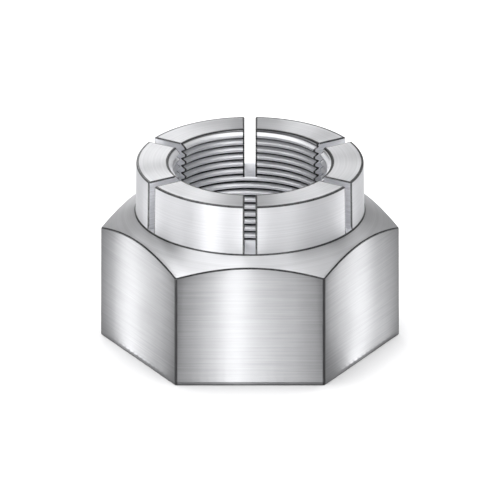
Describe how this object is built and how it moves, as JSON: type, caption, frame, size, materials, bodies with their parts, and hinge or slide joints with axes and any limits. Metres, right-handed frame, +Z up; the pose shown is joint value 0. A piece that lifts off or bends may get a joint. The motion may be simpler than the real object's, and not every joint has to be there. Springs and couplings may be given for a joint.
{
  "type": "flex lock nut",
  "caption": "Heavy hexagonal steel lock nut whose slotted round crown has spring segments that lean in and grip the bolt thread.",
  "frame": {"origin": "centre of the flat bearing face, on the surface that the nut stands on", "axes": "+Z runs up the bore towards the slotted crown; +X points at a corner of the hexagon; two flats face -Y and +Y"},
  "size_m": [0.0806, 0.0698, 0.0508],
  "materials": {
    "steel": "bright machined steel, fine lathe and grinding marks"
  },
  "bodies": {
    "root": {"lock_nut": "steel"}
  },
  "joints": []
}
